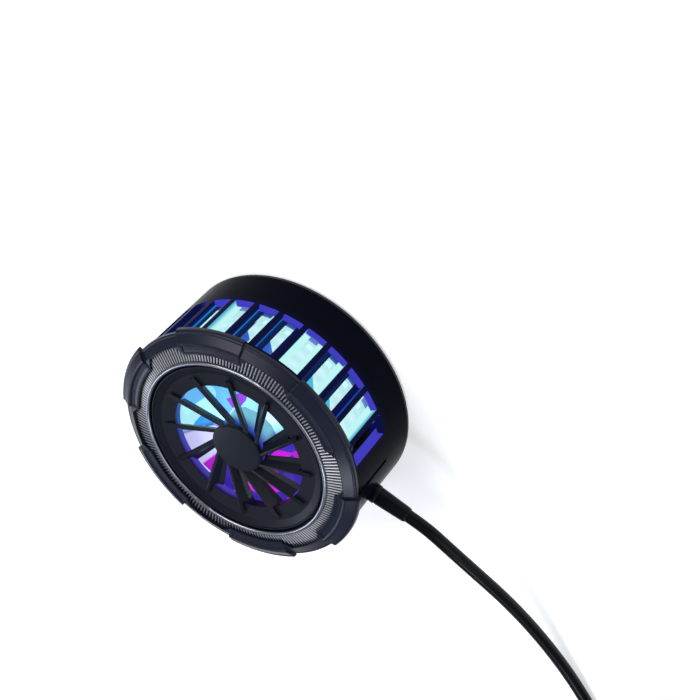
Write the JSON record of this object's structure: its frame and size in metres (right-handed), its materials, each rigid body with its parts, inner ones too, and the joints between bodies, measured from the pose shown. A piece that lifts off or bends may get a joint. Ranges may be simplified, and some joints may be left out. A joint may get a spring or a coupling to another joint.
{
  "type": "cooling wireless charger",
  "caption": "Round clip-on wireless charger with a lit window drum, an armoured fan bezel, a spinning cooling fan and a fixed USB-C lead.",
  "frame": {"origin": "centre of the contact face on the underside", "axes": "+Z out of the contact face towards the fan, +X along the lead where it leaves the drum, +Y by the right-hand rule"},
  "size_m": [0.1859, 0.0831, 0.0254],
  "materials": {
    "gloss_black": "high gloss moulding",
    "matte_black": "fine matte moulding",
    "bezel_dark": "satin moulding with a faint violet sheen",
    "pad_rubber": "soft matte silicone",
    "magnet_nickel": "nickel plated, satin",
    "carrier_white": "plain moulding",
    "copper": "enamelled copper wire, satin",
    "ferrite": "dull sintered",
    "plate_aluminium": "milled",
    "module_ceramic": "plain white ceramic",
    "foam_dark": "closed cell foam",
    "pad_grey": "soft filled silicone",
    "screw_steel": "zinc plated",
    "board_green": "solder mask",
    "component_black": "plain moulding",
    "board_white": "white solder mask",
    "diode_clear": "clear resin",
    "light_clear": "light scattering moulding",
    "prism_clear": "faceted clear moulding",
    "shroud_dark": "fine matte moulding",
    "rim_bright": "polished",
    "knurl_gunmetal": "metallic, satin",
    "fan_dark": "satin metallic moulding",
    "cap_dark": "dark anodised",
    "shaft_steel": "ground",
    "bearing_bronze": "sintered bronze",
    "magnet_ferrite": "dull bonded ferrite",
    "core_steel": "laminated, oiled",
    "cable_rubber": "glossy cable jacket",
    "wire_red": "wire insulation",
    "plug_black": "satin moulding",
    "plug_steel": "nickel plated, polished",
    "tie_strap": "woven hook and loop strap"
  },
  "bodies": {
    "charger": {"contact_pad": "pad_rubber", "rear_cover": "matte_black", "charging_coil": "copper", "ferrite_sheet": "ferrite", "magnet_ring": "magnet_nickel", "coil_carrier": "carrier_white", "cold_plate": "plate_aluminium", "thermoelectric_module": "module_ceramic", "insulation_frame": "foam_dark", "thermal_pad": "pad_grey", "heatsink": "plate_aluminium", "heatsink_screws": "screw_steel", "main_board": "board_green", "board_components": "component_black", "light_board": "board_white", "light_diodes": "diode_clear", "light_ring": "light_clear", "prism_disc": "prism_clear", "drum_housing": "gloss_black", "fan_shroud": "shroud_dark", "rim_ring": "rim_bright", "knurled_ring": "knurl_gunmetal", "front_bezel": "bezel_dark", "bearing_sleeve": "bearing_bronze", "motor_base": "matte_black", "motor_screws": "screw_steel", "motor_board": "board_green", "stator_core": "core_steel", "stator_windings": "copper", "cable_gland": "cable_rubber", "gland_cable": "cable_rubber", "power_wires": "wire_red", "strain_relief": "cable_rubber", "cable_lead": "cable_rubber", "cable_coil": "cable_rubber", "cable_tail": "cable_rubber", "coil_tie": "tie_strap", "plug_relief": "cable_rubber", "plug_grip": "plug_black", "plug_shell": "plug_steel", "plug_insert": "plug_black"},
    "fan": {"fan_rotor": "fan_dark", "hub_cap": "cap_dark", "fan_shaft": "shaft_steel", "rotor_magnet": "magnet_ferrite"}
  },
  "joints": [
    {"name": "fan_spin", "type": "hinge", "parent": "charger", "child": "fan", "pos_m": [0, 0, 0.0184], "axis": [0, 0, 1], "continuous": true}
  ]
}
